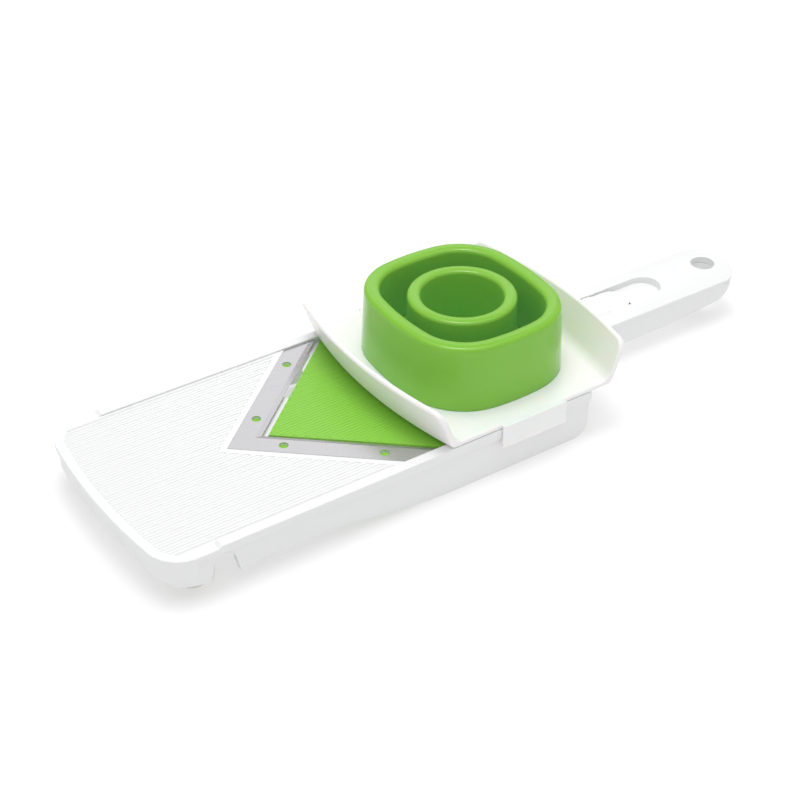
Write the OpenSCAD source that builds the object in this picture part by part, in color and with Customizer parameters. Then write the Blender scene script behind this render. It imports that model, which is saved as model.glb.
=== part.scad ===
// Hand held mandoline slicer with a V blade, an adjustable feed ramp and a food guard.
// Frame: +X runs along the body towards the handle, +Y across it, +Z up.
// The origin is the centre of the bounding box in X and Y, at its bottom in Z.
// Inside the modules X is measured from the blade point and Z from the blade's top face.

/* [Body] */
// Overall width over the side rails
body_w = 114; // [95:1:130]
// Height of the deck above the table
deck_h = 23.5; // [18:0.5:32]
// Distance from the blade point to the front end, on the centreline
front_reach = 64; // [50:1:80]
// How much the front end bows forward
front_bow = 5; // [3:0.5:10]
// Plan radius of the two front corners
front_corner_r = 16; // [8:1:24]
// Distance from the blade point to the rear wall
rear_reach = 158; // [140:1:180]
// Clear width between the rails
rail_gap = 104; // [84:1:118]
// Height of the rails above the deck
rail_h = 1; // [0.6:0.1:3]
// Depth of the rail flange below the deck
flange_drop = 4; // [3:0.5:7]
// Wall thickness of the moulding
wall = 2.4; // [1.8:0.1:3.5]
// Depth of the shallow part of the skirts
skirt_shallow = 16; // [10:0.5:18]
// Radius of the notch that hooks over a bowl rim
notch_r = 5.2; // [3:0.1:8]

/* [Ribs] */
// Spacing of the ribs on the deck and on the ramp
rib_pitch = 3.5; // [2:0.1:5]
// Width of one rib
rib_w = 1.7; // [0.6:0.1:2.4]
// Height of one rib
rib_h = 0.15; // [0.1:0.05:0.8]

/* [Blade] */
// Half of the angle between the two arms
blade_half_angle = 40.8; // [30:0.2:55]
// Width of one arm, square to its edge
arm_w = 11.3; // [8:0.1:16]
// Thickness of the blade
blade_t = 0.6; // [0.4:0.1:1.2]
// Radius of the holes in the blade
blade_hole_r = 2.15; // [1.5:0.05:3]
// Gap between the cutting edge and the ramp, seen from above
throat_gap = 2.3; // [1.5:0.1:4]

/* [Ramp] */
// Depth of the ramp's point below the blade at the stored setting
ramp_depth = 1.2; // [1:0.1:3]
// Position of the ramp's pivot
pivot_x = 150; // [140:1:155]
// Thickness of the ramp plate
ramp_t = 2.4; // [1.8:0.1:3.5]
// Radius of the ramp's pivot pins
pin_r = 1.5; // [1:0.1:2.5]

/* [Handle] */
// Distance from the blade point to the end of the handle
handle_reach = 290; // [250:1:320]
// Width of the handle
handle_w = 34.5; // [26:0.5:42]
// Height of the crown above the blade's plane
handle_crown = 0.8; // [0.2:0.1:1]
// Depth of the handle below the blade's plane
handle_drop = 15; // [12:0.5:20]
// Radius of the hanging hole
hang_r = 6.1; // [4:0.1:8]
// Distance from the hanging hole to the end of the handle
hang_inset = 12; // [10:0.5:20]
// Half width of the thumb pocket
pocket_r = 8.8; // [7:0.1:11]
// Rear end of the thumb pocket
pocket_end = 247; // [235:1:260]
// Depth of the thumb pocket
pocket_depth = 3.6; // [2.5:0.1:5]

/* [Food guard] */
// Centre of the guard at the stored position
guard_x = 125.3; // [100:0.5:130]
// Length of the guard plate along the rails
guard_len = 103; // [90:0.5:120]
// Width of the guard plate
guard_w = 113.6; // [100:0.2:130]
// Thickness of the guard plate
guard_t = 2.05; // [1.6:0.05:3]
// Height of the lips above the blade's plane
lip_top = 21.5; // [12:0.5:30]
// Lean of the lips away from the cup
lip_lean = 7.6; // [3:0.1:12]
// Length of the hooks that hold the guard on the rails
hook_len = 35.4; // [20:0.2:60]

/* [Cup and plunger] */
// Half length of the cup's rim along X
cup_a = 39.9; // [30:0.1:50]
// Half width of the cup's rim along Y
cup_b = 44; // [32:0.1:50]
// Height of the cup's rim above the blade's plane
cup_top = 36; // [28:0.5:45]
// Thickness of the cup's rolled wall
cup_wall = 7.4; // [5:0.1:10]
// Draft of the cup's wall, as the growth at its foot
cup_draft = 1.3; // [0.5:0.1:3]
// Outer radius of the plunger's ring
ring_r = 25.4; // [18:0.1:28]
// Thickness of the plunger's ring
ring_wall = 6.2; // [4:0.1:8]

/* [Hidden] */
$fn = 64;
eps = 0.02;
fit = 0.15;
total_len = front_reach + handle_reach;
mid_x = (handle_reach - front_reach) / 2;
half_w = body_w / 2;
half_gap = rail_gap / 2;
bow_r = (half_w * half_w + front_bow * front_bow) / (2 * front_bow);
tan_b = tan(blade_half_angle);
sin_b = sin(blade_half_angle);
cos_b = cos(blade_half_angle);
// A V line keeps its shape when it moves along X, so each edge is named by where it meets the centreline
arm_x = arm_w / sin_b;
corner_dx = half_gap / tan_b;
throat_x = arm_x + throat_gap / sin_b;
deck_t = 2.6;
skirt_y = half_w - 1.4;
rail_start = -36;
notch_x = -33;
notch_half = 6.6;
step_start = 22;
step_end = 80;
heel_r = 8;
seat_gap = 3;
// Ramp and thickness setting
follow_x = 105;
ramp_side_gap = 0.6;
follower_arm_y = 9.6;
stiffener_rows = [-38, -22, 22, 38];
setting_rise = 0.25;
ramp_lever = pivot_x - throat_x;
ramp_level_top = -0.3;
barrel_r = 2.8;
pivot_z = ramp_level_top - barrel_r - 0.1;
ramp_angle = asin((ramp_depth + ramp_level_top) / ramp_lever);
cam_pin_r = 1.2;
cam_pin_z = -6.75;
cam_slope = setting_rise * (pivot_x - follow_x) / ramp_lever;
cam_gap = 0.05;
bar_top = -10.1;
bar_bottom = -12.6;
bar_half = 8;
stem_x0 = 198;
stem_x1 = 206;
setting_back = 20;
setting_front = 2;
pad_end = pocket_end - setting_back;
pad_front = 200;
pocket_front = 190;
channel_y = 11.5;
channel_z = -14.2;
cover_t = 1.8;
cover_x0 = 79;
cover_x1 = 153.8;
cover_half_w = 20;
cross_wall_x = 75;
screw_r = 1.4;
screw_head_r = 2.8;
shank_r = screw_r - 0.25;
// Screw places as [x, y], those with a zero y once and the others mirrored
carrier_spots = [[4, 12], [40, 40.8]];
cover_spots = [[84, 15.9], [148, 15.9]];
tail_spot = [262, 0];
neck_spot = [167, 11.6];
foot_spot = [-42, 42.5];
foot_r = 6.5;
foot_boss_r = 4.4;
peg_depth = 3.2;
peg_drop = 1.3;
blade_spots = [[21.5, 11.8], [55, 41]];
// Detent leaf beside the cam bar
detent_x = 178.4;
detent_y = 9.35;
leaf_t = 0.5;
leaf_len = 12.6;
leaf_angle = 14.5;
scallop_start = 172;
scallop_pitch = 2.5;
scallop_last = 8;
post_x = 190.8;
post_len = 5;
// Handle
handle_gap = 1.2;
tub_inset = 0.4;
tub_floor = 2.2;
cap_z = -2.4;
cap_edge = -1.2;
cap_gap = 0.2;
crown_r = (pow(handle_w / 2, 2) + pow(handle_crown - cap_edge, 2)) / (2 * (handle_crown - cap_edge));
crown_half_w = 18.5;
crown_steps = 12;
hang_x = handle_reach - hang_inset;
handle_corner_r = 12;
handle_bow = 2.6;
// Guard
plate_z = rail_h + 0.3;
plate_top = plate_z + guard_t;
plate_mid = guard_x - 0.5;
guard_bow = 7;
guard_r = (pow(guard_w / 2, 2) + pow(guard_bow, 2)) / (2 * guard_bow);
lip_t = 2.8;
hook_x = guard_x - 1;
hook_y = half_w + 0.3;
hook_t = 1.4;
hook_bottom = -8.6;
// Cup outline as four corner arcs and four side arcs
corner_r = 29;
corner_cx = cup_a - corner_r - 1.1;
corner_cy = cup_b - corner_r - 0.6;
side_rx = (pow(corner_cy, 2) + pow(cup_a - corner_cx, 2) - pow(corner_r, 2)) / (2 * (cup_a - corner_cx - corner_r));
side_ry = (pow(corner_cx, 2) + pow(cup_b - corner_cy, 2) - pow(corner_r, 2)) / (2 * (cup_b - corner_cy - corner_r));
ang_x = atan2(corner_cy, corner_cx - cup_a + side_rx);
ang_y = atan2(corner_cx, corner_cy - cup_b + side_ry);
ledge_w = 1.6;
ledge_z = 5;
flange_gap = 0.4;
spike_r = 0.9;
spike_tip = 0.9;
spike_columns = [-18, 0, 18];
spike_rows = [-22, -11, 11, 22];
plate_screw_x = 9;
white = [0.93, 0.94, 0.94];
lime = [0.45, 0.72, 0.22];
steel = [0.78, 0.78, 0.8];

// Moves a piece from the blade's frame to the part's frame
module seated() {
    translate([-mid_x, 0, deck_h])
        children();
}

module both_sides() {
    children();
    mirror([0, 1, 0])
        children();
}

// A block given by its low and high corners
module block(x0, x1, y0, y1, z0, z1) {
    translate([x0, y0, z0])
        cube([x1 - x0, y1 - y0, z1 - z0]);
}

// A profile drawn in X and Z, given a width along Y
module side_prism(y0, y1) {
    translate([0, y1, 0])
        rotate([90, 0, 0])
            linear_extrude(y1 - y0)
                children();
}

// Repeats its children at each place and at its mirror image
module at_pairs(spots) {
    for (p = spots)
        both_sides()
            translate([p[0], p[1], 0])
                children();
}

module cap_spots() {
    translate([tail_spot[0], tail_spot[1], 0])
        children();
    at_pairs([neck_spot])
        children();
}

// Plan outline with one bowed end towards -X, shrunk by an inset
module bowed_plan(end_x, x1, w, bow, r, inset) {
    hw = w / 2;
    big = (hw * hw + bow * bow) / (2 * bow);
    cy = hw - r;
    cx = end_x + big - sqrt(pow(big - r, 2) - cy * cy);
    reach = 1.2 * big;
    translate([cx, -hw + inset])
        square([x1 - cx, w - 2 * inset]);
    for (s = [-1, 1])
        translate([cx, s * cy])
            circle(r - inset);
    intersection() {
        translate([end_x + big, 0])
            circle(big - inset, $fn = 180);
        polygon([[end_x + big, 0], [end_x + big - reach, reach * cy / (end_x + big - cx)],
            [end_x + big - reach, -reach * cy / (end_x + big - cx)]]);
        translate([end_x - 1, -hw])
            square([cx - end_x + 2, w]);
    }
}

module body_plan(inset, past = 0) {
    bowed_plan(-front_reach, rear_reach + past, body_w, front_bow, front_corner_r, inset);
}

// Region on the handle side of a V line that meets the centreline at x
module v_region(x, far) {
    polygon([[x, 0], [x + (half_w + 10) / tan_b, half_w + 10], [far + 80, half_w + 10],
        [far + 80, -half_w - 10], [x + (half_w + 10) / tan_b, -half_w - 10]]);
}

module window_plan(x, far, hw) {
    intersection() {
        v_region(x, far);
        translate([x - 1, -hw])
            square([far - x + 1, 2 * hw]);
    }
}

// Evenly spaced ribs along X, kept inside the plan region passed as a child
module ribs(hw, x0, x1, z) {
    count = floor((hw - rib_w) / rib_pitch);
    translate([0, 0, z])
        linear_extrude(rib_h)
            intersection() {
                for (i = [-count:count])
                    translate([x0, i * rib_pitch - rib_w / 2])
                        square([x1 - x0, rib_w]);
                children();
            }
}

module deck_field() {
    difference() {
        intersection() {
            body_plan(4.5);
            translate([-front_reach, -half_gap + 1.5])
                square([front_reach + corner_dx + 2, rail_gap - 3]);
        }
        v_region(-5, rear_reach);
    }
}

// Skirt seen from the side: shallow in front, deep under the guard, rounded at the heel
module skirt_profile() {
    difference() {
        polygon([[-front_reach, 0], [-front_reach, 5 - skirt_shallow], [-front_reach + 5, 3.2 - skirt_shallow],
            [-front_reach + 11, 1.4 - skirt_shallow], [-front_reach + 18, 0.4 - skirt_shallow],
            [notch_x - notch_half, -skirt_shallow - 0.2], [notch_x + notch_half, -skirt_shallow - 0.4],
            [step_start, -skirt_shallow], [step_start + 5, -skirt_shallow - 0.6],
            [step_start + 20, -skirt_shallow - 3.4], [step_start + 31, -skirt_shallow - 5.4],
            [step_end - 12, 0.8 - deck_h], [step_end, -deck_h], [rear_reach, -deck_h], [rear_reach, 0]]);
        translate([rear_reach - heel_r, -deck_h - 1])
            square([heel_r + 1, heel_r + 1]);
        translate([notch_x, -flange_drop - 0.4 - notch_r])
            circle(notch_r);
        polygon([[notch_x - notch_half, -skirt_shallow - 1], [notch_x - notch_r, -flange_drop - 1 - notch_r],
            [notch_x + notch_r, -flange_drop - 1 - notch_r], [notch_x + notch_half, -skirt_shallow - 1]]);
    }
    translate([rear_reach - heel_r, -deck_h + heel_r])
        circle(heel_r);
}

module skirts() {
    intersection() {
        side_prism(-half_w, half_w)
            skirt_profile();
        translate([0, 0, -deck_h - 1])
            linear_extrude(deck_h)
                difference() {
                    body_plan(half_w - skirt_y);
                    body_plan(half_w - skirt_y + wall, 1);
                }
    }
}

// Rails with a flange below that grows deeper towards the handle
module rails() {
    intersection() {
        translate([0, 0, -flange_drop])
            linear_extrude(flange_drop + rail_h)
                difference() {
                    body_plan(0);
                    translate([-front_reach - 5, -half_gap])
                        square([total_len, rail_gap]);
                }
        side_prism(-half_w - 1, half_w + 1)
            polygon([[-front_reach - 1, 0], [rail_start, 0], [rail_start + 1.5, rail_h],
                [rear_reach, rail_h], [rear_reach, -flange_drop], [106, -flange_drop],
                [64, 0.4 - flange_drop], [42, 0.5 - flange_drop], [17, -deck_t], [-front_reach - 1, -deck_t]]);
    }
}

module handle_plan(inset) {
    translate([handle_reach, 0])
        mirror([1, 0])
            bowed_plan(0, handle_reach - rear_reach + handle_gap - inset, handle_w, handle_bow, handle_corner_r, inset);
}

module handle_side() {
    end_r = 14;
    polygon([[rear_reach - 2, 5], [rear_reach - 2, -handle_drop], [240, -handle_drop],
        [262, -handle_drop + 1.6], [handle_reach - end_r, -handle_drop + 3.2],
        [handle_reach - 5, -handle_drop + 9], [handle_reach + 1, -3], [handle_reach + 1, 5]]);
}

module handle_tub() {
    difference() {
        intersection() {
            translate([0, 0, -handle_drop - 1])
                linear_extrude(handle_drop + 1 + cap_z - cap_gap)
                    handle_plan(tub_inset);
            side_prism(-half_w, half_w)
                handle_side();
        }
        difference() {
            translate([0, 0, -handle_drop + tub_floor])
                linear_extrude(handle_drop)
                    handle_plan(wall + tub_inset);
            translate([hang_x, 0, -handle_drop])
                cylinder(r = hang_r + 2, h = handle_drop);
            cap_spots()
                translate([0, 0, -handle_drop])
                    cylinder(r = 3.2, h = 4.4);
            block(handle_reach - 9, handle_reach, -20, 20, -handle_drop, -6);
        }
        translate([hang_x, 0, -handle_drop - 1])
            cylinder(r = hang_r, h = handle_drop + 2);
        cap_spots()
            translate([0, 0, -handle_drop - 1]) {
                cylinder(r = screw_r + 0.1, h = handle_drop);
                cylinder(r = screw_head_r + 0.2, h = 3);
            }
    }
}

// Channel under the ramp that guides the cam bar
module channel() {
    both_sides()
        block(cross_wall_x + 1, rear_reach - 1, channel_y, channel_y + wall, channel_z, -9);
    difference() {
        block(cross_wall_x, cover_x0 - 1, -skirt_y + 1, skirt_y - 1, channel_z, -8.8);
        block(cross_wall_x - 1, cover_x0, -6, 6, channel_z - 1, -12);
    }
    at_pairs(cover_spots)
        translate([0, 0, channel_z])
            difference() {
                cylinder(r = 2.8, h = 5);
                translate([0, 0, -1])
                    cylinder(r = screw_r, h = 5);
            }
}

module carrier_bosses() {
    at_pairs(carrier_spots)
        translate([0, 0, -5.4])
            difference() {
                cylinder(r = 2.3, h = 5.4 - deck_t + eps);
                translate([0, 0, -1])
                    cylinder(r = screw_r - 0.2, h = 3.6);
            }
}

module pivot_lugs() {
    both_sides()
        block(pivot_x - 4, rear_reach - 1, half_gap - 0.5, skirt_y - 1, pivot_z - 4, 0);
}

module deck() {
    difference() {
        union() {
            translate([0, 0, -deck_t])
                linear_extrude(deck_t - rib_h)
                    body_plan(0);
            translate([0, 0, -deck_t])
                linear_extrude(deck_t)
                    difference() {
                        body_plan(0);
                        deck_field();
                    }
        }
        translate([0, 0, -deck_t - 1])
            linear_extrude(deck_t + 2)
                window_plan(-fit, rear_reach - wall, half_gap);
    }
    ribs(half_gap, -front_reach, corner_dx, -rib_h)
        deck_field();
}

// Posts that hold the detent leaf's root
module leaf_posts() {
    root_y = detent_y + leaf_len * sin(leaf_angle);
    block(post_x - 1, post_x + post_len, root_y + leaf_t + 0.02, handle_w / 2 - wall, -handle_drop + 2, -9.6);
    block(post_x, post_x + post_len, root_y - 1.5, root_y - 0.02, -handle_drop + 2, -9.6);
}

module body_frame() {
    color(white)
        seated()
            difference() {
                union() {
                    deck();
                    rails();
                    skirts();
                    handle_tub();
                    channel();
                    carrier_bosses();
                    pivot_lugs();
                    leaf_posts();
                    block(rear_reach - wall, rear_reach, 1 - skirt_y, skirt_y - 1, heel_r - deck_h, 0);
                    at_pairs([foot_spot])
                        translate([0, 0, -17])
                            cylinder(r = foot_boss_r, h = 17 - deck_t + eps);
                }
                // passage for the cam bar through the rear wall
                block(rear_reach - 5, rear_reach + 2, -bar_half - 0.6, bar_half + 0.6, -12.8, -9.4);
                // holes for the ramp's pins, blind in the skirts
                both_sides()
                    translate([pivot_x, 0, pivot_z])
                        rotate([-90, 0, 0])
                            cylinder(r = pin_r, h = half_w - 2.2);
            }
}

// Height of the handle's crown at a distance from its centreline
function crown_z(y) = handle_crown - crown_r + sqrt(crown_r * crown_r - y * y);

module crown_section() {
    polygon(concat([[crown_half_w, -5]],
        [for (i = [crown_steps:-1:-crown_steps]) [crown_half_w * i / crown_steps, crown_z(crown_half_w * i / crown_steps)]],
        [[-crown_half_w, -5]]));
}

module pocket_plan(inset) {
    translate([pocket_end - pocket_r, 0])
        circle(pocket_r - inset);
    translate([pocket_front + inset, -pocket_r + inset])
        square([pocket_end - pocket_r - pocket_front - inset, 2 * pocket_r - 2 * inset]);
}

module handle_cap() {
    color(white)
        seated()
            difference() {
                union() {
                    intersection() {
                        translate([0, 0, cap_z])
                            linear_extrude(4)
                                difference() {
                                    handle_plan(0);
                                    translate([rear_reach - 5, -20])
                                        square([5.3, 40]);
                                }
                        translate([rear_reach - 4, 0, 0])
                            rotate([90, 0, 90])
                                linear_extrude(handle_reach)
                                    crown_section();
                    }
                    translate([0, 0, handle_crown - pocket_depth - 1.6])
                        linear_extrude(pocket_depth)
                            pocket_plan(-1.6);
                    cap_spots()
                        translate([0, 0, -handle_drop + 4.5])
                            cylinder(r = 2.9, h = handle_drop - 4.5 + cap_z + eps);
                }
                translate([0, 0, handle_crown - pocket_depth])
                    linear_extrude(pocket_depth + 1)
                        pocket_plan(0);
                block(stem_x0 - setting_front - 0.4, stem_x1 + setting_back + 0.4, -5.3, 5.3, -8, 0);
                translate([hang_x, 0, -4])
                    cylinder(r = hang_r, h = 8);
                cap_spots()
                    translate([0, 0, -handle_drop + 4])
                        cylinder(r = screw_r, h = 7.4);
            }
}

module blade() {
    bevel_w = 2.2;
    edge_t = 0.1;
    color(steel)
        seated()
            difference() {
                translate([0, 0, -blade_t])
                    linear_extrude(blade_t)
                        difference() {
                            intersection() {
                                v_region(0, 80);
                                translate([-1, -half_gap + fit])
                                    square([120, rail_gap - 2 * fit]);
                            }
                            v_region(arm_x, 80);
                        }
                at_pairs(blade_spots)
                    translate([0, 0, -2])
                        cylinder(r = blade_hole_r, h = 4);
                both_sides()
                    intersection() {
                        translate([arm_x, 0, 0])
                            rotate([0, 0, blade_half_angle])
                                translate([0, bevel_w, 0])
                                    rotate([atan((blade_t - edge_t) / bevel_w), 0, 0])
                                        translate([-10, -8, 0])
                                            cube([120, 8, 2]);
                        block(0, 120, 0, half_w, -2, 2);
                    }
            }
}

module blade_carrier() {
    seat_x = arm_x - seat_gap / sin_b;
    edge_x = throat_x - 0.6;
    lip_x = throat_x - 2.4;
    ledge_reach = 43;
    ledge_half_w = 22;
    ledge_t = 1.4;
    color(white)
        seated()
            difference() {
                union() {
                    // seat under the blade's arms
                    translate([0, 0, -deck_t - 1])
                        linear_extrude(deck_t + 1 - blade_t)
                            difference() {
                                intersection() {
                                    v_region(fit, 80);
                                    translate([0, -half_gap + fit])
                                        square([120, rail_gap - 2 * fit]);
                                }
                                v_region(seat_x, 80);
                            }
                    // ledge that closes the throat beside the point
                    translate([0, 0, -deck_t - 1])
                        linear_extrude(ledge_t)
                            difference() {
                                intersection() {
                                    v_region(seat_x - 0.5, 80);
                                    translate([0, -ledge_half_w])
                                        square([ledge_reach, 2 * ledge_half_w]);
                                }
                                v_region(edge_x, 80);
                            }
                    // bridges that close the throat at the rails
                    translate([0, 0, -deck_t - 1])
                        linear_extrude(ledge_t)
                            difference() {
                                intersection() {
                                    v_region(seat_x - 0.5, 90);
                                    translate([70, -half_gap + fit])
                                        square([20, rail_gap - 2 * fit]);
                                }
                                v_region(edge_x, 90);
                            }
                    // lip along the ramp's outer ends
                    translate([0, 0, -deck_t - 1])
                        linear_extrude(ledge_t)
                            difference() {
                                intersection() {
                                    v_region(lip_x, 90);
                                    translate([60, -half_gap + fit])
                                        square([30, rail_gap - 2 * fit]);
                                }
                                v_region(edge_x, 90);
                            }
                    // flange under the deck
                    translate([0, 0, -5.1])
                        linear_extrude(5.1 - deck_t - fit)
                            difference() {
                                intersection() {
                                    v_region(-14, 80);
                                    translate([-20, -half_gap + 2])
                                        square([68, rail_gap - 4]);
                                }
                                v_region(seat_x, 80);
                            }
                }
                at_pairs(carrier_spots)
                    translate([0, 0, -8])
                        cylinder(r = 2.45, h = 8 - deck_t);
                at_pairs(blade_spots)
                    translate([0, 0, -peg_depth])
                        cylinder(r = blade_hole_r + 0.05, h = 4);
            }
}

// Pegs that stand in the blade's holes
module blade_pegs() {
    color(lime)
        seated()
            at_pairs(blade_spots)
                translate([0, 0, -peg_depth])
                    cylinder(r = blade_hole_r - 0.05, h = peg_depth - peg_drop);
}

// Screw with its head down, its head's lower face at the origin
module screw(len, head_r, head_h, slot) {
    difference() {
        union() {
            cylinder(r = head_r, h = head_h);
            cylinder(r = shank_r, h = len);
        }
        for (a = [0, 90])
            rotate([0, 0, a])
                translate([-slot / 2, -0.35, -1])
                    cube([slot, 0.7, 1.6]);
    }
}

module carrier_screws() {
    color(steel)
        seated()
            at_pairs(carrier_spots)
                translate([0, 0, -6.8])
                    screw(3.9, 3.4, 1.4, 3.6);
}

module ramp_plan(inset) {
    window_plan(throat_x + inset, pivot_x + 3 - inset, half_gap - ramp_side_gap - inset);
}

// The ramp is drawn level and then turned about its pivot
module pivoted() {
    translate([pivot_x, 0, pivot_z])
        rotate([0, -ramp_angle, 0])
            translate([-pivot_x, 0, -pivot_z])
                children();
}

module ramp() {
    edge = 1.2;
    color(lime)
        seated()
            pivoted()
                difference() {
                    union() {
                        translate([0, 0, ramp_level_top - rib_h - ramp_t])
                            linear_extrude(ramp_t)
                                ramp_plan(0);
                        ribs(half_gap - ramp_side_gap, throat_x, pivot_x - 4, ramp_level_top - rib_h - eps)
                            ramp_plan(edge);
                        for (s = [-1, 1])
                            translate([0, s * follower_arm_y, 0])
                                side_prism(-1, 1)
                                    polygon([[follow_x - 9, -2], [follow_x - 2.6, -8.3], [follow_x + 2.6, -8.3],
                                        [follow_x + 9, -2]]);
                        for (y = stiffener_rows)
                            block(62 + abs(y) / 3, pivot_x - 2, y - 0.9, y + 0.9, -5.2, -1);
                        both_sides()
                            translate([pivot_x, half_gap - 7, pivot_z])
                                rotate([-90, 0, 0])
                                    cylinder(r = barrel_r, h = 6.4);
                    }
                    both_sides()
                        translate([pivot_x, half_gap - 6, pivot_z])
                            rotate([-90, 0, 0])
                                cylinder(r = pin_r + 0.06, h = 7);
                    translate([follow_x, -12, cam_pin_z])
                        rotate([-90, 0, 0])
                            cylinder(r = cam_pin_r, h = 24);
                }
}

module ramp_pins() {
    color(steel)
        seated()
            both_sides()
                translate([pivot_x, half_gap - 5.8, pivot_z])
                    rotate([-90, 0, 0])
                        cylinder(r = pin_r, h = 8.4);
}

module follower_pin() {
    color(steel)
        seated()
            pivoted()
                translate([follow_x, -10.6, cam_pin_z])
                    rotate([-90, 0, 0])
                        cylinder(r = cam_pin_r, h = 21.2);
}

module cam_slide() {
    pin_z = pivot_z + (cam_pin_z - pivot_z) * cos(ramp_angle) - (pivot_x - follow_x) * sin(ramp_angle);
    pin_x = pivot_x - (pivot_x - follow_x) * cos(ramp_angle) - (cam_pin_z - pivot_z) * sin(ramp_angle);
    face = pin_z - cam_pin_r / cos(atan(cam_slope)) - cam_gap;
    back = pin_x - setting_back - 3;
    front = pin_x + setting_front + 4;
    color([0.3, 0.32, 0.33])
        seated()
            difference() {
                union() {
                    block(82, stem_x1 + 6, -bar_half, bar_half, bar_bottom, bar_top);
                    side_prism(-7.4, 7.4)
                        polygon([[back, bar_top - 0.5], [back, face - cam_slope * (pin_x - back)],
                            [front, face + cam_slope * (front - pin_x)], [front + 1, bar_top - 0.5]]);
                }
                // square socket for the button's stem
                block(stem_x0 + 1, stem_x1 - 1, -3, 3, bar_bottom - 1, bar_top + 1);
                // scallops for the detent
                for (i = [0:scallop_last])
                    translate([scallop_start + i * scallop_pitch, bar_half + 0.4, bar_bottom - 1])
                        cylinder(r = 1, h = 4);
            }
}

module thumb_button() {
    pad_z = handle_crown - pocket_depth + 0.1;
    grip_h = 2.8;
    color(white)
        seated() {
            // pad with a round tail
            translate([0, 0, pad_z])
                linear_extrude(1.9) {
                    translate([pad_end - pocket_r, 0])
                        circle(pocket_r - 0.4);
                    translate([pad_front, -pocket_r + 0.4])
                        square([pad_end - pocket_r - pad_front, 2 * pocket_r - 0.8]);
                }
            // raised grip with a dished rear face
            difference() {
                translate([0, 0, pad_z])
                    linear_extrude(grip_h)
                        intersection() {
                            translate([pad_front, -pocket_r + 0.4])
                                square([13, 2 * pocket_r - 0.8]);
                            translate([pad_front + 3, 0])
                                circle(10.4);
                        }
                for (i = [0:2])
                    translate([pad_front + 3 + i * 2.6, 0, pad_z + grip_h + 0.3])
                        rotate([90, 0, 0])
                            cylinder(r = 0.7, h = 30, center = true, $fn = 32);
            }
            block(stem_x0, stem_x1, -5, 5, bar_top, pad_z + eps);
            block(stem_x0 + 1.1, stem_x1 - 1.1, -2.9, 2.9, bar_bottom + 0.2, bar_top + eps);
        }
}

// Leaf spring that leans on the cam bar's scallops
module detent_spring() {
    root_x = detent_x + leaf_len * cos(leaf_angle);
    root_y = detent_y + leaf_len * sin(leaf_angle);
    color(steel)
        seated() {
            block(root_x - 0.1, root_x + 4, root_y, root_y + leaf_t, bar_bottom, bar_bottom + 3);
            translate([detent_x, detent_y, bar_bottom])
                rotate([0, 0, leaf_angle])
                    cube([leaf_len + 0.1, leaf_t, 3]);
            translate([detent_x, detent_y, bar_bottom])
                cylinder(r = 0.9, h = 3);
        }
}

module under_cover() {
    color(white)
        seated()
            difference() {
                union() {
                    block(cover_x0, cover_x1, -cover_half_w, cover_half_w, channel_z - cover_t, channel_z);
                    both_sides()
                        block(cover_x0, cover_x1 - 2, 4, 6, channel_z - eps, bar_bottom - 0.1);
                }
                at_pairs(cover_spots)
                    translate([0, 0, channel_z - 4])
                        cylinder(r = screw_r + 0.1, h = 6);
            }
}

module cover_screws() {
    color(steel)
        seated()
            at_pairs(cover_spots)
                translate([0, 0, channel_z - cover_t - 1.4])
                    screw(6.6, screw_head_r, 1.4, 3.4);
}

module cap_screws() {
    color(steel)
        seated()
            cap_spots()
                translate([0, 0, -handle_drop + 0.5])
                    screw(9, screw_head_r, 1.4, 3.4);
}

module front_feet() {
    color([0.75, 0.76, 0.74])
        seated()
            at_pairs([foot_spot])
                translate([0, 0, -deck_h])
                    difference() {
                        union() {
                            cylinder(r1 = foot_r - 0.8, r2 = foot_r, h = 2);
                            translate([0, 0, 2])
                                cylinder(r = foot_r, h = 9);
                        }
                        translate([0, 0, deck_h - 17])
                            cylinder(r = foot_boss_r + 0.05, h = 12);
                    }
}

// Guard plan: both ends bowed
module guard_plan(inset) {
    intersection() {
        translate([plate_mid - guard_len / 2 + guard_r, 0])
            circle(guard_r - inset, $fn = 180);
        translate([plate_mid + guard_len / 2 - guard_r, 0])
            circle(guard_r - inset, $fn = 180);
        translate([plate_mid - guard_len / 2, -guard_w / 2 + inset])
            square([guard_len, guard_w - 2 * inset]);
    }
}

// Leaning lip swept about the centre of the bowed edge, with a fillet inside
module lip() {
    rise = lip_top - plate_z;
    fillet = 7;
    lean = lip_lean / rise;
    intersection() {
        translate([guard_r - guard_len / 2, 0, plate_z])
            rotate([0, 0, 180 - 15])
                rotate_extrude(angle = 30, $fn = 180) {
                    polygon([[guard_r - lip_t, 0], [guard_r, 0], [guard_r + lip_lean - lean * lip_t / 2, rise - lip_t / 2],
                        [guard_r + lip_lean - lean * lip_t / 2 - lip_t, rise - lip_t / 2]]);
                    translate([guard_r + lip_lean - lean * lip_t / 2 - lip_t / 2, rise - lip_t / 2])
                        circle(lip_t / 2, $fn = 32);
                    difference() {
                        polygon([[guard_r - lip_t - fillet, 0], [guard_r - 1, 0],
                            [guard_r + lean * (fillet + guard_t) - 1, fillet + guard_t],
                            [guard_r + lean * (fillet + guard_t) - lip_t, fillet + guard_t],
                            [guard_r - lip_t - fillet, fillet + guard_t]]);
                        translate([guard_r - lip_t - fillet + 1.4, guard_t + fillet])
                            circle(fillet, $fn = 48);
                        translate([guard_r - lip_t - fillet - 6, guard_t])
                            square([7.4, 2 * fillet]);
                    }
                }
        side_end();
    }
}

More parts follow.
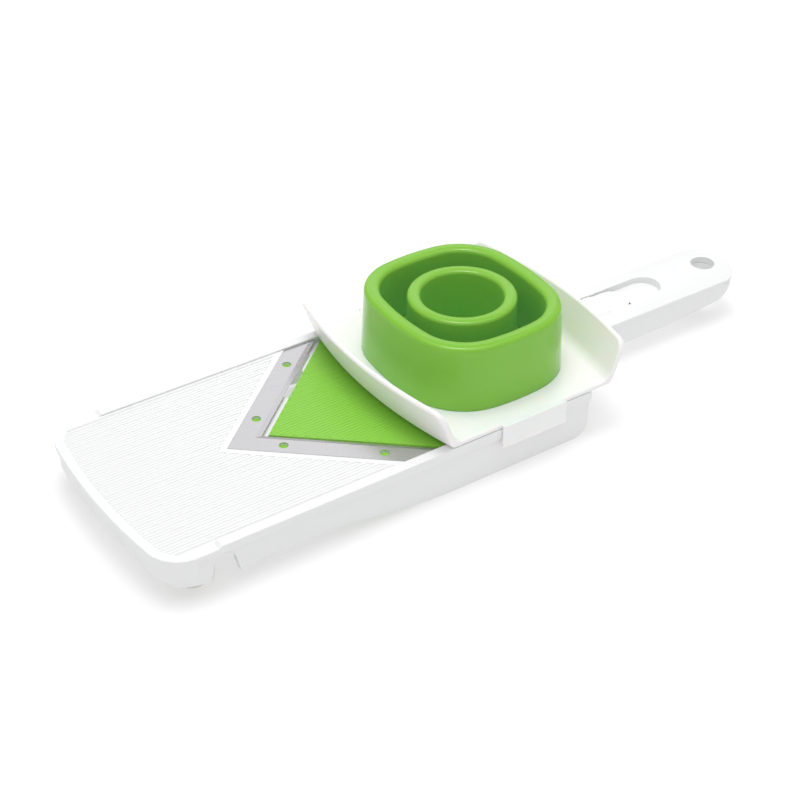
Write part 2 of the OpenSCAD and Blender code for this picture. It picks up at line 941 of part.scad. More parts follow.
// Rounds the upper ends of a lip
module side_end() {
    r = 6;
    hw = guard_w / 2;
    rotate([90, 0, 90])
        translate([0, 0, -200])
            linear_extrude(400) {
                translate([-hw, -5])
                    square([2 * hw, lip_top + 5 - r]);
                translate([-hw + r, -5])
                    square([2 * (hw - r), lip_top + 5]);
                for (s = [-1, 1])
                    translate([s * (hw - r), lip_top - r])
                        circle(r);
            }
}

// Cup outline grown by an offset
module cup_plan(grow) {
    reach = 20;
    mid_x0 = (side_rx - cup_a) * tan(ang_x);
    mid_y0 = (side_ry - cup_b) * tan(ang_y);
    end_x = (side_rx + reach) * tan(ang_x);
    end_y = (side_ry + reach) * tan(ang_y);
    for (sx = [-1, 1])
        for (sy = [-1, 1])
            translate([sx * corner_cx, sy * corner_cy])
                circle(corner_r + grow);
    for (s = [-1, 1]) {
        intersection() {
            translate([s * (cup_a - side_rx), 0])
                circle(side_rx + grow, $fn = 180);
            polygon([[0, mid_x0], [s * (cup_a + reach), end_x], [s * (cup_a + reach), -end_x], [0, -mid_x0]]);
        }
        intersection() {
            translate([0, s * (cup_b - side_ry)])
                circle(side_ry + grow, $fn = 180);
            polygon([[mid_y0, 0], [end_y, s * (cup_b + reach)], [-end_y, s * (cup_b + reach)], [-mid_y0, 0]]);
        }
    }
}

module guard_plate() {
    color([0.9, 0.94, 0.91])
        seated() {
            difference() {
                translate([0, 0, plate_z])
                    linear_extrude(guard_t)
                        guard_plan(0);
                translate([guard_x, 0, plate_z - 1])
                    linear_extrude(guard_t + 2)
                        cup_plan(-cup_wall - ledge_w + 0.2);
            }
            translate([plate_mid, 0, 0]) {
                lip();
                mirror([1, 0, 0])
                    lip();
            }
            both_sides() {
                translate([hook_x - hook_len / 2, 0, 0]) {
                    block(0, hook_len, hook_y, hook_y + hook_t, hook_bottom, plate_top);
                    block(0, hook_len, skirt_y + 0.5, hook_y + eps, -flange_drop - 2, -flange_drop - 0.4);
                    block(0, hook_len, hook_y - 2, hook_y + eps, plate_z, plate_top);
                }
                block(guard_x - 40, guard_x + 40, half_gap - 2, half_gap - 0.5, 0.4, plate_z + eps);
            }
        }
}

module glide_strips() {
    color([0.8, 0.82, 0.82])
        seated()
            both_sides()
                block(guard_x - 36, guard_x + 36, half_gap + 1, half_w - 1, rail_h + 0.02, plate_z);
}

// The cup's outline as steps [centre x, centre y, radius, direction] that turn once round it
function arc_steps(cx, cy, r, start, sweep, count) =
    [for (i = [0:count - 1]) [cx, cy, r, start + sweep * i / count]];

function corner_steps(sx, sy, start) =
    arc_steps(sx * corner_cx, sy * corner_cy, corner_r, start, 90 - ang_x - ang_y, 16);

outline_steps = concat(
    arc_steps(cup_a - side_rx, 0, side_rx, -ang_x, 2 * ang_x, 8),
    corner_steps(1, 1, ang_x),
    arc_steps(0, cup_b - side_ry, side_ry, 90 - ang_y, 2 * ang_y, 8),
    corner_steps(-1, 1, 90 + ang_y),
    arc_steps(side_rx - cup_a, 0, side_rx, 180 - ang_x, 2 * ang_x, 8),
    corner_steps(-1, -1, 180 + ang_x),
    arc_steps(0, side_ry - cup_b, side_ry, 270 - ang_y, 2 * ang_y, 8),
    corner_steps(1, -1, 270 + ang_y));

// Rolled wall, two skins joined by a full round rim and open below, as [offset, height]
rim_r = cup_wall / 2;
skin = 2.2;
cup_profile = concat(
    [[cup_draft, plate_top], [0, cup_top - rim_r]],
    [for (a = [15:15:165]) [rim_r * cos(a) - rim_r, cup_top - rim_r + rim_r * sin(a)]],
    [[-cup_wall, cup_top - rim_r], [-cup_wall, ledge_z], [-cup_wall - ledge_w, ledge_z],
        [-cup_wall - ledge_w, plate_top], [skin - cup_wall, plate_top], [skin - cup_wall, cup_top - rim_r - 1],
        [-skin, cup_top - rim_r - 1], [cup_draft - skin, plate_top]]);

// Closed ring with the profile carried round the outline
module outline_ring(profile) {
    n = len(outline_steps);
    m = len(profile);
    points = [for (s = outline_steps) for (q = profile)
        [s[0] + (s[2] + q[0]) * cos(s[3]), s[1] + (s[2] + q[0]) * sin(s[3]), q[1]]];
    faces = [for (i = [0:n - 1]) for (j = [0:m - 1])
        [i * m + j, i * m + (j + 1) % m, ((i + 1) % n) * m + (j + 1) % m, ((i + 1) % n) * m + j]];
    polyhedron(points, faces, convexity = 6);
}

module cup() {
    color(lime)
        seated()
            translate([guard_x, 0, 0])
                outline_ring(cup_profile);
}

module plunger() {
    z0 = ledge_z + 0.1;
    rim = ring_wall / 2;
    skin = 1.9;
    color(lime)
        seated()
            translate([guard_x, 0, 0]) {
                difference() {
                    translate([0, 0, z0])
                        linear_extrude(2)
                            cup_plan(-cup_wall - flange_gap);
                    for (s = [-1, 1])
                        translate([s * plate_screw_x, 0, z0 - 1])
                            cylinder(r = shank_r, h = 4);
                }
                rotate_extrude($fn = 96)
                    difference() {
                        union() {
                            translate([ring_r - ring_wall, z0])
                                square([ring_wall, cup_top - z0 - rim]);
                            translate([ring_r - rim, cup_top - rim])
                                circle(rim, $fn = 48);
                        }
                        translate([ring_r - ring_wall + skin, z0 - 1])
                            square([ring_wall - 2 * skin, cup_top - z0 - rim]);
                    }
            }
}

module spike_plate() {
    color(white)
        seated()
            translate([guard_x, 0, 0])
                difference() {
                    translate([0, 0, ledge_z - 1.5])
                        linear_extrude(1.6)
                            cup_plan(-cup_wall - ledge_w - 0.8);
                    for (s = [-1, 1])
                        translate([s * plate_screw_x, 0, 0])
                            cylinder(r = screw_r + 0.1, h = 10);
                    spike_spots()
                        cylinder(r = spike_r, h = 10);
                }
}

module spike_spots() {
    for (x = spike_columns)
        for (y = spike_rows)
            translate([x, y, 0])
                children();
}

module spikes() {
    color(steel)
        seated()
            translate([guard_x, 0, 0])
                spike_spots()
                    translate([0, 0, spike_tip]) {
                        cylinder(r1 = 0.2, r2 = spike_r, h = 1.6);
                        translate([0, 0, 1.6])
                            cylinder(r = spike_r, h = ledge_z + 0.1 - spike_tip - 1.6);
                    }
}

module plate_screws() {
    color(steel)
        seated()
            translate([guard_x, 0, 0])
                for (s = [-1, 1])
                    translate([s * plate_screw_x, 0, ledge_z - 1.5 - 1.2])
                        screw(4.4, 2.6, 1.2, 3);
}

body_frame();
handle_cap();
blade();
blade_carrier();
carrier_screws();
blade_pegs();
ramp();
ramp_pins();
follower_pin();
thumb_button();
cam_slide();
detent_spring();
under_cover();
cover_screws();
cap_screws();
front_feet();
guard_plate();
glide_strips();
cup();
plunger();
spike_plate();
plate_screws();
spikes();
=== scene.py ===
import math

import bmesh
import bpy
from mathutils import Matrix, Vector


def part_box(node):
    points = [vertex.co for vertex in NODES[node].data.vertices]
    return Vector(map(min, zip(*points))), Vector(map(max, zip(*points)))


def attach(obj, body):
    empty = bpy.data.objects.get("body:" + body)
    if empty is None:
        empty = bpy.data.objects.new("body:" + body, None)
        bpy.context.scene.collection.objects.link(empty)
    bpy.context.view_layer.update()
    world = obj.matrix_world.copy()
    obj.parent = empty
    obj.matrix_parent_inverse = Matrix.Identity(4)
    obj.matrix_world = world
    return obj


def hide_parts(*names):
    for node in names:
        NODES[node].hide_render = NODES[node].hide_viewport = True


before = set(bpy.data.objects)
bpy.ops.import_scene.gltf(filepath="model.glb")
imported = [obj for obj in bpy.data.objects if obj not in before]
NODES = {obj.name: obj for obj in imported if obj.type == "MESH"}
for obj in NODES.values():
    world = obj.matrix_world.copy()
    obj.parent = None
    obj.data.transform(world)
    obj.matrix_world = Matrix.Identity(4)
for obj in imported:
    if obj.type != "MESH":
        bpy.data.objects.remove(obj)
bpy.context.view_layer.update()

MM = 0.001

# The blade's outer point on the deck plane is where every size below is measured from, in mm
DECK = Vector((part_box("blade")[0].x, 0.0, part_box("blade")[1].z))


def at(x, y, z):
    """A point given in mm from the blade's point, in metres in the shared frame."""
    return DECK + Vector((x, y, z)) * MM


# ---------------------------------------------------------------- materials

# Noise scales are per metre, bump depths in metres
CLOUD_SCALE, SKIN_SCALE, SKIN_BUMP, SKIN_DEPTH = 30, 900, 0.25, 0.00004
GRAIN_SCALE, GRAIN_STRETCH, GRAIN_BUMP, GRAIN_DEPTH = 60, 60, 0.15, 0.00002


def new_material(name, colour, roughness, **sockets):
    mat = bpy.data.materials.new(name)
    mat.use_nodes = True
    bsdf = mat.node_tree.nodes["Principled BSDF"]
    bsdf.inputs["Base Color"].default_value = (*colour, 1)
    bsdf.inputs["Roughness"].default_value = roughness
    for key, value in sockets.items():
        bsdf.inputs[key.replace("_", " ")].default_value = value
    return mat


def mottle(mat, low, high, scale, bump_scale, bump, rough_low, rough_high):
    """Faint cloudiness in a moulding's colour and gloss, and the fine texture of its skin."""
    tree = mat.node_tree
    bsdf = tree.nodes["Principled BSDF"]
    coords = tree.nodes.new("ShaderNodeTexCoord")
    clouds = tree.nodes.new("ShaderNodeTexNoise")
    clouds.inputs["Scale"].default_value = scale
    clouds.inputs["Detail"].default_value = 3
    tree.links.new(coords.outputs["Object"], clouds.inputs["Vector"])
    tint = tree.nodes.new("ShaderNodeMix")
    tint.data_type = "RGBA"
    tint.inputs["A"].default_value = (*low, 1)
    tint.inputs["B"].default_value = (*high, 1)
    tree.links.new(clouds.outputs["Fac"], tint.inputs["Factor"])
    tree.links.new(tint.outputs["Result"], bsdf.inputs["Base Color"])
    gloss = tree.nodes.new("ShaderNodeMapRange")
    gloss.inputs["To Min"].default_value = rough_low
    gloss.inputs["To Max"].default_value = rough_high
    tree.links.new(clouds.outputs["Fac"], gloss.inputs["Value"])
    tree.links.new(gloss.outputs["Result"], bsdf.inputs["Roughness"])
    skin = tree.nodes.new("ShaderNodeTexNoise")
    skin.inputs["Scale"].default_value = bump_scale
    skin.inputs["Detail"].default_value = 4
    tree.links.new(coords.outputs["Object"], skin.inputs["Vector"])
    relief = tree.nodes.new("ShaderNodeBump")
    relief.inputs["Strength"].default_value = bump
    relief.inputs["Distance"].default_value = SKIN_DEPTH
    tree.links.new(skin.outputs["Fac"], relief.inputs["Height"])
    tree.links.new(relief.outputs["Normal"], bsdf.inputs["Normal"])
    return mat


def plastic(name, colour, roughness, spread=0.03, **sockets):
    mat = new_material(name, colour, roughness, **sockets)
    low = tuple(c * (1 - spread) for c in colour)
    high = tuple(min(1, c * (1 + spread)) for c in colour)
    return mottle(mat, low, high, CLOUD_SCALE, SKIN_SCALE, SKIN_BUMP, roughness * 0.85, roughness * 1.2)


def brushed(name, colour, roughness):
    mat = new_material(name, colour, roughness, Metallic=1.0)
    tree = mat.node_tree
    bsdf = tree.nodes["Principled BSDF"]
    coords = tree.nodes.new("ShaderNodeTexCoord")
    stretch = tree.nodes.new("ShaderNodeMapping")
    stretch.inputs["Scale"].default_value = (1, GRAIN_STRETCH, 1)
    grain = tree.nodes.new("ShaderNodeTexNoise")
    grain.inputs["Scale"].default_value = GRAIN_SCALE
    grain.inputs["Detail"].default_value = 6
    tree.links.new(coords.outputs["Object"], stretch.inputs["Vector"])
    tree.links.new(stretch.outputs["Vector"], grain.inputs["Vector"])
    gloss = tree.nodes.new("ShaderNodeMapRange")
    gloss.inputs["To Min"].default_value = roughness * 0.7
    gloss.inputs["To Max"].default_value = roughness * 1.4
    tree.links.new(grain.outputs["Fac"], gloss.inputs["Value"])
    tree.links.new(gloss.outputs["Result"], bsdf.inputs["Roughness"])
    relief = tree.nodes.new("ShaderNodeBump")
    relief.inputs["Strength"].default_value = GRAIN_BUMP
    relief.inputs["Distance"].default_value = GRAIN_DEPTH
    tree.links.new(grain.outputs["Fac"], relief.inputs["Height"])
    tree.links.new(relief.outputs["Normal"], bsdf.inputs["Normal"])
    return mat


WHITE = plastic("white_moulding", (0.868, 0.87, 0.874), 0.34, 0.01, Specular_IOR_Level=0.35)
# The faint glow of the milky and green mouldings stands for light that passes through their walls
MILKY = plastic("milky_moulding", (0.862, 0.858, 0.856), 0.24, 0.01, Subsurface_Weight=0.3, Subsurface_Scale=0.003,
                Emission_Color=(1, 0.97, 0.97, 1), Emission_Strength=0.06)
GREEN = plastic("green_moulding", (0.205, 0.495, 0.012), 0.15, Subsurface_Weight=0.4, Subsurface_Scale=0.004,
                Emission_Color=(0.4, 1, 0.65, 1), Emission_Strength=0.035)
RAMP_GREEN = plastic("ramp_moulding", (0.25, 0.6, 0.05), 0.35)
DARK = plastic("dark_moulding", (0.05, 0.055, 0.055), 0.4)
PAD = plastic("strip_plastic", (0.62, 0.65, 0.65), 0.45)
# The front feet's grey, olive-tinted colour is painted shade: the tone of the shaded band under the front corners
FOOT_SHADE_TINT = plastic("foot_painted_shade", (0.62, 0.6, 0.53), 0.6)
STEEL = brushed("blade_steel", (0.6, 0.592, 0.612), 0.28)

FINISH = {
    "body_frame": WHITE, "handle_cap": WHITE, "blade_carrier": WHITE, "thumb_button": WHITE,
    "under_cover": WHITE, "spike_plate": WHITE, "guard_plate": MILKY, "glide_strips": PAD,
    "cup": GREEN, "plunger": GREEN, "ramp": RAMP_GREEN, "blade_pegs": RAMP_GREEN, "cam_slide": DARK,
    "front_feet": FOOT_SHADE_TINT,
}
# Width in mm of the rounding on each moulding's edges
EDGE_ROUND = {
    "body_frame": 0.2, "blade_carrier": 0.2, "ramp": 0.15, "front_feet": 0.5, "under_cover": 0.3,
}
WELD_GAP = 0.000002
SHARP_FROM = 32
for node, obj in NODES.items():
    obj.data.materials.clear()
    obj.data.materials.append(FINISH.get(node, STEEL))
    if node in EDGE_ROUND:
        weld = obj.modifiers.new("weld", "WELD")
        weld.merge_threshold = WELD_GAP
        soft = obj.modifiers.new("edges", "BEVEL")
        soft.width = EDGE_ROUND[node] * MM
        soft.segments = 2
        soft.limit_method = "ANGLE"
        soft.angle_limit = math.radians(SHARP_FROM)
        soft.use_clamp_overlap = False
        soft.harden_normals = True


# ---------------------------------------------------------------- cup and plunger

def add_mesh(name, verts, faces, material, body, *nodes):
    """A smooth piece that rides on a body and stands for CAD nodes."""
    mesh = bpy.data.meshes.new(name)
    mesh.from_pydata([tuple(v) for v in verts], [], faces)
    whole = bmesh.new()
    whole.from_mesh(mesh)
    bmesh.ops.recalc_face_normals(whole, faces=whole.faces)
    whole.to_mesh(mesh)
    whole.free()
    mesh.polygons.foreach_set("use_smooth", [True] * len(mesh.polygons))
    mesh.materials.append(material)
    obj = bpy.data.objects.new(name, mesh)
    bpy.context.scene.collection.objects.link(obj)
    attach(obj, body)
    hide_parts(*nodes)
    return obj


def arc(cx, cz, r, start, end, steps):
    """Points on an arc in a profile, angles in degrees."""
    return [(cx + r * math.cos(math.radians(start + (end - start) * k / steps)),
             cz + r * math.sin(math.radians(start + (end - start) * k / steps))) for k in range(steps + 1)]


def loops(path, closed_path, count, point):
    """Points and faces of a profile carried round a closed outline of count steps."""
    verts = [point(i, q) for i in range(count) for q in path]
    m = len(path)
    span = m if closed_path else m - 1
    faces = []
    for i in range(count):
        for j in range(span):
            a, b = i * m + j, i * m + (j + 1) % m
            c, d = ((i + 1) % count) * m + (j + 1) % m, ((i + 1) % count) * m + j
            faces.append((a, d, c, b))
    return verts, faces


# The cup's outline in the CAD part: half sizes, then corner arcs between bowed sides
CUP_A, CUP_B, CORNER_R = 39.9, 44.0, 29.0
CORNER_X, CORNER_Y = CUP_A - CORNER_R - 1.1, CUP_B - CORNER_R - 0.6
SIDE_RX = (CORNER_Y ** 2 + (CUP_A - CORNER_X) ** 2 - CORNER_R ** 2) / (2 * (CUP_A - CORNER_X - CORNER_R))
SIDE_RY = (CORNER_X ** 2 + (CUP_B - CORNER_Y) ** 2 - CORNER_R ** 2) / (2 * (CUP_B - CORNER_Y - CORNER_R))
ANG_X = math.degrees(math.atan2(CORNER_Y, CORNER_X - CUP_A + SIDE_RX))
ANG_Y = math.degrees(math.atan2(CORNER_X, CORNER_Y - CUP_B + SIDE_RY))
GUARD_X, PLATE_TOP, CUP_TOP, CUP_WALL = 125.3, 3.35, 36.0, 7.4
LEDGE_Z, LEDGE_W, DRAFT, CUP_MID_Z = 5.0, 1.6, 1.3, 20


def cup_outline(fine):
    """Steps round the cup as centre x, centre y, radius, direction."""
    out = []

    def run(cx, cy, r, start, sweep, count):
        for k in range(count):
            out.append((cx, cy, r, math.radians(start + sweep * k / count)))

    corner = 90 - ANG_X - ANG_Y
    run(CUP_A - SIDE_RX, 0, SIDE_RX, -ANG_X, 2 * ANG_X, fine)
    run(CORNER_X, CORNER_Y, CORNER_R, ANG_X, corner, 2 * fine)
    run(0, CUP_B - SIDE_RY, SIDE_RY, 90 - ANG_Y, 2 * ANG_Y, fine)
    run(-CORNER_X, CORNER_Y, CORNER_R, 90 + ANG_Y, corner, 2 * fine)
    run(SIDE_RX - CUP_A, 0, SIDE_RX, 180 - ANG_X, 2 * ANG_X, fine)
    run(-CORNER_X, -CORNER_Y, CORNER_R, 180 + ANG_X, corner, 2 * fine)
    run(0, SIDE_RY - CUP_B, SIDE_RY, 270 - ANG_Y, 2 * ANG_Y, fine)
    run(CORNER_X, -CORNER_Y, CORNER_R, 270 + ANG_Y, corner, 2 * fine)
    return out


def rim_path(outer, width, top, edge, crown):
    """A rolled rim seen in section: two small edge arcs and a slightly crowned top between them."""
    low = top - crown
    path = arc(outer - edge, low - edge, edge, 0, 84, 6)
    half = width / 2 - edge
    for k in range(1, 6):
        u = 1 - 2 * k / 6
        path.append((outer - width / 2 + half * u, top - crown * u * u))
    path += arc(outer - width + edge, low - edge, edge, 96, 180, 6)
    return path


OUTLINE_STEPS = 14
# In mm: how far faces are set in from the CAD part's, and how far below a rim the last straight row lies
INSET, SUPPORT = 0.02, 1.5


def add_cup():
    steps = cup_outline(OUTLINE_STEPS)
    ledge_r = 1.0
    edge, crown, skin = 2.0, 0.3, 2.2
    foot = CUP_TOP - crown - edge
    path = [(DRAFT - INSET, PLATE_TOP), (DRAFT - INSET - 0.05, PLATE_TOP + 1),
            (0.5 * DRAFT, PLATE_TOP + 0.5 * (foot - PLATE_TOP)), (0.06, foot - SUPPORT)]
    path += rim_path(0, CUP_WALL, CUP_TOP, edge, crown)
    path += [(-CUP_WALL, foot - SUPPORT), (-CUP_WALL, CUP_MID_Z), (-CUP_WALL, LEDGE_Z + ledge_r + 0.2)]
    path += arc(-CUP_WALL - ledge_r, LEDGE_Z + ledge_r, ledge_r, 0, -90, 4)
    path += [(-CUP_WALL - LEDGE_W, LEDGE_Z), (-CUP_WALL - LEDGE_W, PLATE_TOP), (skin - CUP_WALL, PLATE_TOP),
             (skin - CUP_WALL, foot - 0.5), (-skin, foot - 0.5), (DRAFT - skin, PLATE_TOP)]

    def point(i, q):
        cx, cy, r, ang = steps[i]
        return at(GUARD_X + cx + (r + q[0]) * math.cos(ang), cy + (r + q[0]) * math.sin(ang), q[1])

    verts, faces = loops(path, True, len(steps), point)
    return add_mesh("cup_shell", verts, faces, GREEN, "guard", "cup")


RING_R, RING_WALL, RING_STEPS = 25.4, 6.2, 96
# The plunger's floor, in mm: its thickness, its gap to the cup's wall and its chamfer
BASE_T, BASE_GAP, BASE_EDGE = 2, 0.4, 0.35


def add_plunger():
    count = RING_STEPS
    z0 = LEDGE_Z + 0.1
    edge, crown = 1.7, 0.25
    foot = CUP_TOP - crown - edge
    top = z0 + BASE_T
    flare, inner_r, centre_r = 2.4, 1.5, 8
    outline = cup_outline(OUTLINE_STEPS)
    path = arc(RING_R + flare, top + flare, flare, 270, 180, 6)
    path += [(RING_R, top + flare + 1), (RING_R, foot - SUPPORT)]
    path += rim_path(RING_R, RING_WALL, CUP_TOP, edge, crown)
    path += [(RING_R - RING_WALL, foot - SUPPORT), (RING_R - RING_WALL, top + inner_r + 0.1)]
    path += arc(RING_R - RING_WALL - inner_r, top + inner_r, inner_r, 0, -90, 5)
    path += [(centre_r, top)]

    def point(i, q):
        ang = 2 * math.pi * i / count
        return at(GUARD_X + q[0] * math.cos(ang), q[0] * math.sin(ang), q[1])

    verts, faces = loops(path, False, count, point)
    m = len(path)
    faces.append([i * m + m - 1 for i in range(count)])
    # Floor of the plunger: from the ring's flare out to the cup's wall, then round its edge and back below
    base = len(verts)
    grow = -CUP_WALL - BASE_GAP
    n = len(outline)
    for q in ((grow - BASE_EDGE, top), (grow, top - BASE_EDGE), (grow, z0), (grow - 3, z0)):
        for cx, cy, r, ang in outline:
            verts.append(at(GUARD_X + cx + (r + q[0]) * math.cos(ang), cy + (r + q[0]) * math.sin(ang), q[1]))
    for k in range(3):
        for i in range(n):
            a, b = base + k * n + i, base + k * n + (i + 1) % n
            faces.append((a, a + n, b + n, b))
    faces.append([base + 3 * n + i for i in reversed(range(n))])

    # Join the flare's outer ring to the floor's edge by their directions
    def direction(v):
        d = v - at(GUARD_X, 0, 0)
        return math.atan2(d.y, d.x) % (2 * math.pi)

    inner = [i * m for i in range(count)]
    outer = sorted((base + i for i in range(n)), key=lambda k: direction(verts[k]))
    a = b = 0
    while a < count or b < n:
        next_a = direction(verts[inner[(a + 1) % count]]) + (2 * math.pi if a + 1 >= count else 0)
        next_b = direction(verts[outer[(b + 1) % n]]) + (2 * math.pi if b + 1 >= n else 0)
        if b >= n or (a < count and next_a <= next_b):
            faces.append((inner[a % count], outer[b % n], inner[(a + 1) % count]))
            a += 1
        else:
            faces.append((inner[a % count], outer[b % n], outer[(b + 1) % n]))
            b += 1
    return add_mesh("plunger_shell", verts, faces, GREEN, "pusher", "plunger")


# ---------------------------------------------------------------- guard

GUARD_HALF_L, GUARD_HALF_W, GUARD_BOW = 51.5, 56.8, 7.0
PLATE_MID = GUARD_X - 0.5
GUARD_R = (GUARD_HALF_W ** 2 + GUARD_BOW ** 2) / (2 * GUARD_BOW)
PLATE_Z, LIP_TOP, LIP_LEAN, LIP_T, LIP_CORNER = 1.3, 21.5, 7.6, 2.8, 6.0
FILLET_IN, FILLET_OUT, FILLET_STEPS = 6.0, 2.6, 8
# Rows of the guard's mesh: distances in from its end on the plate, shares of the lip's height, angles over its top
PLATE_ROWS, LIP_ROWS, TOP_ROWS = (16.0, 13.0, 11.0), (0.55, 0.75, 0.9, 0.97, 1.0), (20, 40, 60, 78)
GUARD_STATIONS = 41
SMOOTH_TO = 40
HOLE_STEPS = 10


def lip_section():
    """The guard's sheet from its middle over one end, as pairs of inner and outer points.

    Each point is a distance beyond the end's arc and a height."""
    rise = LIP_TOP - PLATE_Z
    lean = LIP_LEAN / rise
    turn = math.pi / 2 - math.atan(lean)
    pairs = [((-back, PLATE_TOP), (-back, PLATE_Z)) for back in PLATE_ROWS]
    # Inner fillet between the plate and the lip, with the outer corner following it
    cx = lean * (PLATE_TOP - PLATE_Z) - LIP_T - FILLET_IN * math.tan(turn / 2)
    ox = -FILLET_OUT * math.tan(turn / 2) + 0.2
    for k in range(FILLET_STEPS + 1):
        a = -math.pi / 2 + turn * k / FILLET_STEPS
        inner = (cx + FILLET_IN * math.cos(a), PLATE_TOP + FILLET_IN + FILLET_IN * math.sin(a))
        outer = (ox + FILLET_OUT * math.cos(a), PLATE_Z + FILLET_OUT + FILLET_OUT * math.sin(a))
        pairs.append((inner, outer))
    top = rise - LIP_T / 2
    for part in LIP_ROWS:
        h = part * top
        pairs.append(((lean * h - LIP_T, PLATE_Z + h), (lean * h, PLATE_Z + h)))
    mid = (LIP_LEAN - lean * LIP_T / 2 - LIP_T / 2, PLATE_Z + top)
    for a in TOP_ROWS:
        dx, dz = LIP_T / 2 * math.cos(math.radians(a)), LIP_T / 2 * math.sin(math.radians(a))
        pairs.append(((mid[0] - dx, mid[1] + dz), (mid[0] + dx, mid[1] + dz)))
    return pairs


def guard_point(end, q, share):
    """A point of the guard's sheet: which end, distance beyond its arc and height, share of the half width."""
    low = LIP_TOP - LIP_CORNER
    half = GUARD_HALF_W
    if q[1] > low:
        half += math.sqrt(max(0.0, LIP_CORNER ** 2 - (q[1] - low) ** 2)) - LIP_CORNER
    y = share * half
    reach = GUARD_HALF_L - GUARD_R + math.sqrt((GUARD_R + q[0]) ** 2 - y * y)
    return at(PLATE_MID + end * reach, y, q[1])


def add_box(verts, faces, x0, x1, y0, y1, z0, z1):
    """Adds a block's corners and faces to the lists."""
    base = len(verts)
    verts += [at(x, y, z) for x in (x0, x1) for y in (y0, y1) for z in (z0, z1)]
    for f in ((0, 1, 3, 2), (4, 6, 7, 5), (0, 4, 5, 1), (2, 3, 7, 6), (0, 2, 6, 4), (1, 5, 7, 3)):
        faces.append(tuple(base + k for k in f))


def finished_mesh(obj):
    """The object's mesh with its modifiers worked in, and the modifiers taken off."""
    bpy.context.view_layer.update()
    done = bpy.data.meshes.new_from_object(obj.evaluated_get(bpy.context.evaluated_depsgraph_get()))
    old = obj.data
    done.name = obj.name
    obj.modifiers.clear()
    obj.data = done
    bpy.data.meshes.remove(old)


def round_edges(obj, width, angle, segments=3):
    """Rounds the edges sharper than an angle in degrees, width in mm."""
    soft = obj.modifiers.new("edges", "BEVEL")
    soft.width = width * MM
    soft.segments = segments
    soft.limit_method = "ANGLE"
    soft.angle_limit = math.radians(angle)
    soft.use_clamp_overlap = False


HOOK_X, HOOK_LEN, HOOK_T, HOOK_BOTTOM, HOOK_Y = 124.3, 35.4, 1.4, -8.6, 57.3
RUNNER_HALF_L, RUNNER_Y0, RUNNER_Y1, RUNNER_BOTTOM = 40, 50, 51.5, 0.4
HOOK_TOE = (56.1, -6.0, -4.4)


def add_guard():
    half = lip_section()
    sheet = [(-1, a, b) for a, b in reversed(half)] + [(1, a, b) for a, b in half]
    stations = GUARD_STATIONS
    verts, faces = [], []
    m = len(sheet)
    for i in range(stations):
        share = -1 + 2 * i / (stations - 1)
        for end, inner, outer in sheet:
            verts.append(guard_point(end, inner, share))
            verts.append(guard_point(end, outer, share))

    def idx(i, j, side):
        return (i * m + j) * 2 + side

    for i in range(stations - 1):
        for j in range(m - 1):
            faces.append((idx(i, j, 0), idx(i, j + 1, 0), idx(i + 1, j + 1, 0), idx(i + 1, j, 0)))
            faces.append((idx(i, j, 1), idx(i + 1, j, 1), idx(i + 1, j + 1, 1), idx(i, j + 1, 1)))
        faces.append((idx(i, 0, 0), idx(i + 1, 0, 0), idx(i + 1, 0, 1), idx(i, 0, 1)))
        faces.append((idx(i, m - 1, 0), idx(i, m - 1, 1), idx(i + 1, m - 1, 1), idx(i + 1, m - 1, 0)))
    for j in range(m - 1):
        faces.append((idx(0, j, 0), idx(0, j, 1), idx(0, j + 1, 1), idx(0, j + 1, 0)))
        k = stations - 1
        faces.append((idx(k, j, 0), idx(k, j + 1, 0), idx(k, j + 1, 1), idx(k, j, 1)))
    shell = add_mesh("guard_shell", verts, faces, MILKY, "guard", "guard_plate")
    round_edges(shell, 0.6, 55)
    hole, hole_faces = [], []
    outline = cup_outline(HOLE_STEPS)
    grow = 0.2 - CUP_WALL - LEDGE_W
    n = len(outline)
    for z in (PLATE_Z - 2, PLATE_TOP + 2):
        for cx, cy, r, ang in outline:
            hole.append(at(GUARD_X + cx + (r + grow) * math.cos(ang), cy + (r + grow) * math.sin(ang), z))
    for i in range(n):
        hole_faces.append((i, (i + 1) % n, n + (i + 1) % n, n + i))
    hole_faces.append(list(reversed(range(n))))
    hole_faces.append([n + i for i in range(n)])
    cut_mesh = bpy.data.meshes.new("guard_cut")
    cut_mesh.from_pydata([tuple(v) for v in hole], [], hole_faces)
    cutter = bpy.data.objects.new("guard_cut", cut_mesh)
    bpy.context.scene.collection.objects.link(cutter)
    cut = shell.modifiers.new("hole", "BOOLEAN")
    cut.operation = "DIFFERENCE"
    cut.solver = "EXACT"
    cut.object = cutter
    finished_mesh(shell)
    bpy.data.objects.remove(cutter)
    bpy.data.meshes.remove(cut_mesh)
    shell.data.set_sharp_from_angle(angle=math.radians(SMOOTH_TO))
    add_hooks()


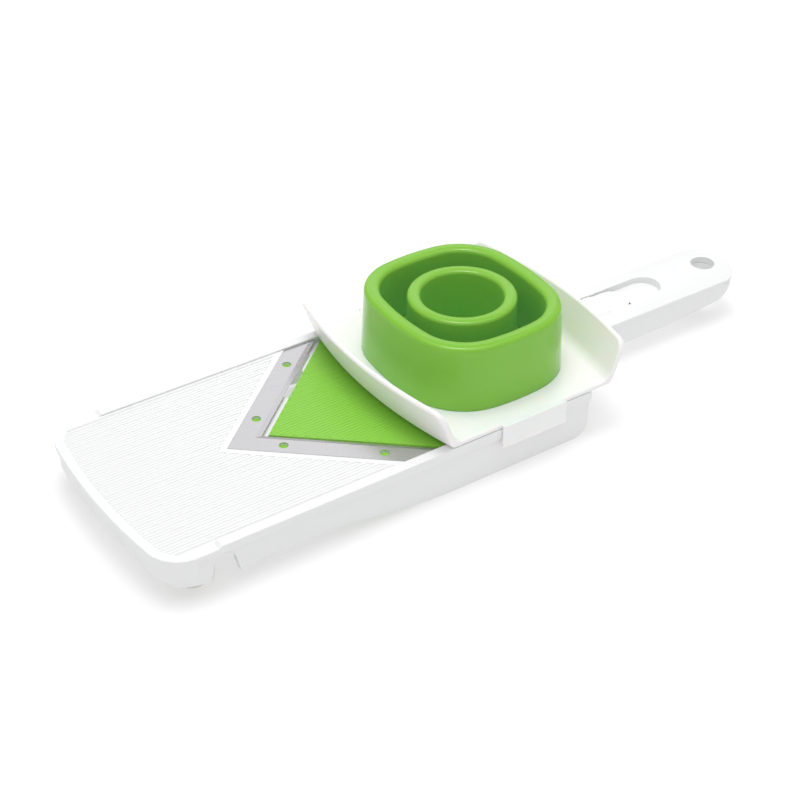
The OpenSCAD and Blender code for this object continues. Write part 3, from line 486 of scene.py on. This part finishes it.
def add_hooks():
    """Hooks over the rails and the runners between them."""
    verts, faces = [], []
    x0, x1 = HOOK_X - HOOK_LEN / 2, HOOK_X + HOOK_LEN / 2
    toe_y, toe_z0, toe_z1 = HOOK_TOE

    def pair(side, y0, y1):
        return (min(side * y0, side * y1), max(side * y0, side * y1))

    for side in (-1, 1):
        add_box(verts, faces, x0, x1, *pair(side, HOOK_Y, HOOK_Y + HOOK_T), HOOK_BOTTOM, PLATE_TOP - INSET)
        add_box(verts, faces, x0 + 0.3, x1 - 0.3, *pair(side, toe_y, HOOK_Y + 0.4), toe_z0, toe_z1)
        add_box(verts, faces, x0 + INSET, x1 - INSET, *pair(side, HOOK_Y - 2, HOOK_Y + 0.3), PLATE_Z,
                PLATE_TOP - 2 * INSET)
        add_box(verts, faces, GUARD_X - RUNNER_HALF_L, GUARD_X + RUNNER_HALF_L, *pair(side, RUNNER_Y0, RUNNER_Y1),
                RUNNER_BOTTOM, PLATE_Z + INSET)
    hooks = add_mesh("guard_hooks", verts, faces, MILKY, "guard", "guard_plate")
    round_edges(hooks, 0.45, 40, 4)
    finished_mesh(hooks)
    hooks.data.set_sharp_from_angle(angle=math.radians(SMOOTH_TO))


add_cup()
add_plunger()
add_guard()


# ---------------------------------------------------------------- stage, light, camera

FLOOR_SIZE, FLOOR_Z, FLOOR_COLOUR, FLOOR_GLOW, SKY = 12, -0.0003, (0.55, 0.55, 0.55), 0.44, 0.58


def add_stage():
    bpy.ops.mesh.primitive_plane_add(size=FLOOR_SIZE, location=(0, 0, FLOOR_Z))
    floor = bpy.context.object
    floor.name = "floor"
    paper = new_material("floor_white", FLOOR_COLOUR, 0.8, Emission_Strength=FLOOR_GLOW)
    paper.node_tree.nodes["Principled BSDF"].inputs["Emission Color"].default_value = (1, 1, 1, 1)
    floor.data.materials.append(paper)
    world = bpy.data.worlds.new("studio")
    world.use_nodes = True
    world.node_tree.nodes["Background"].inputs["Color"].default_value = (1, 1, 1, 1)
    world.node_tree.nodes["Background"].inputs["Strength"].default_value = SKY
    bpy.context.scene.world = world


def add_light(name, place, aim, size, power):
    data = bpy.data.lights.new(name, "AREA")
    data.shape = "RECTANGLE"
    data.size, data.size_y = size
    data.energy = power
    obj = bpy.data.objects.new(name, data)
    bpy.context.scene.collection.objects.link(obj)
    obj.location = place
    obj.rotation_mode = "QUATERNION"
    obj.rotation_quaternion = (Vector(place) - Vector(aim)).to_track_quat("Z", "Y")
    return obj


CAM_AZ, CAM_EL, CAM_ROLL = -34.514, 35.518, 0.262
CAM_DISTANCE = 0.76659
CAM_AIM = (82.733, -12.126, 0.0)
CAM_LENS = 76.16


def add_camera():
    az, el, roll = (math.radians(v) for v in (CAM_AZ, CAM_EL, CAM_ROLL))
    back = Vector((math.sin(az) * math.cos(el), -math.cos(az) * math.cos(el), math.sin(el)))
    right = Vector((math.cos(az), math.sin(az), 0))
    up = back.cross(right)
    right2 = math.cos(roll) * right + math.sin(roll) * up
    up2 = math.cos(roll) * up - math.sin(roll) * right
    data = bpy.data.cameras.new("camera")
    data.lens = CAM_LENS
    data.sensor_width = 36
    data.clip_start = 0.05
    data.clip_end = 50
    cam = bpy.data.objects.new("camera", data)
    bpy.context.scene.collection.objects.link(cam)
    cam.matrix_world = Matrix.Translation(at(*CAM_AIM) + back * CAM_DISTANCE) @ Matrix(
        (right2, up2, back)).transposed().to_4x4()
    bpy.context.scene.camera = cam


add_stage()
add_light("top", (-0.05, -0.05, 1.5), (0, 0, 0), (1.8, 1.8), 9.5)
add_light("glint", (-0.05, 0.1, 1.6), (0, 0, 0), (0.6, 0.6), 6.5)
add_light("back", (0.8, 1.15, 1.0), (0, 0, 0), (1.1, 0.8), 1.8)
add_camera()
bpy.context.scene.view_settings.view_transform = "Standard"

bpy.context.view_layer.update()
